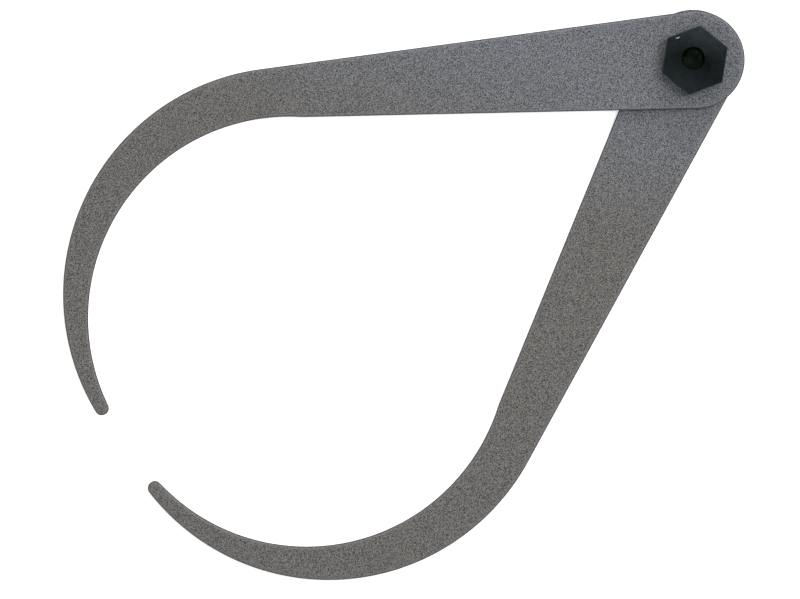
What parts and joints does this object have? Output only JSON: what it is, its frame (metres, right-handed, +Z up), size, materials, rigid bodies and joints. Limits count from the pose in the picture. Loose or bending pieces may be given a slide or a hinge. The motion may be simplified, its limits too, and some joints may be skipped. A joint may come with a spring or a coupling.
{
  "type": "outside caliper",
  "caption": "Firm-joint outside caliper: bowed flat steel legs with blunt round tips, turning on a stud and held by friction under a black hexagon nut.",
  "frame": {"origin": "on the pivot axis, in the plane of the lower leg's flat back face, on which the caliper lies", "axes": "+Z up out of the back face through the nut; +X midway between the directions of the two legs' centre lines, towards the tips; +Y towards the lower leg"},
  "size_m": [0.1622, 0.1142, 0.0111],
  "materials": {
    "leg_steel": "tumbled sheet steel, dull mid grey with a fine grain",
    "stud_steel": "turned steel, ground flush at the back",
    "fibre": "vulcanised fibre, matt",
    "washer_steel": "pressed steel, dull",
    "spring_steel": "tempered spring steel, blued",
    "black_oxide": "turned steel, chemically blacked and oiled"
  },
  "bodies": {
    "lower_leg": {"lower_leg": "leg_steel", "pivot_stud": "stud_steel", "joint_washer": "fibre", "face_washer": "fibre", "keyed_washer": "washer_steel", "spring_washer": "spring_steel"},
    "upper_leg": {"upper_leg": "leg_steel"},
    "nut": {"hex_nut": "black_oxide"}
  },
  "joints": [
    {"name": "leg_swing", "type": "hinge", "parent": "lower_leg", "child": "upper_leg", "pos_m": [0, 0, 0.0034], "axis": [0, 0, -1], "range_deg": [-6.7, 120]},
    {"name": "nut_turn", "type": "hinge", "parent": "lower_leg", "child": "nut", "pos_m": [0, 0, 0.008], "axis": [0, 0, 1], "range_deg": [-30, 90]}
  ]
}
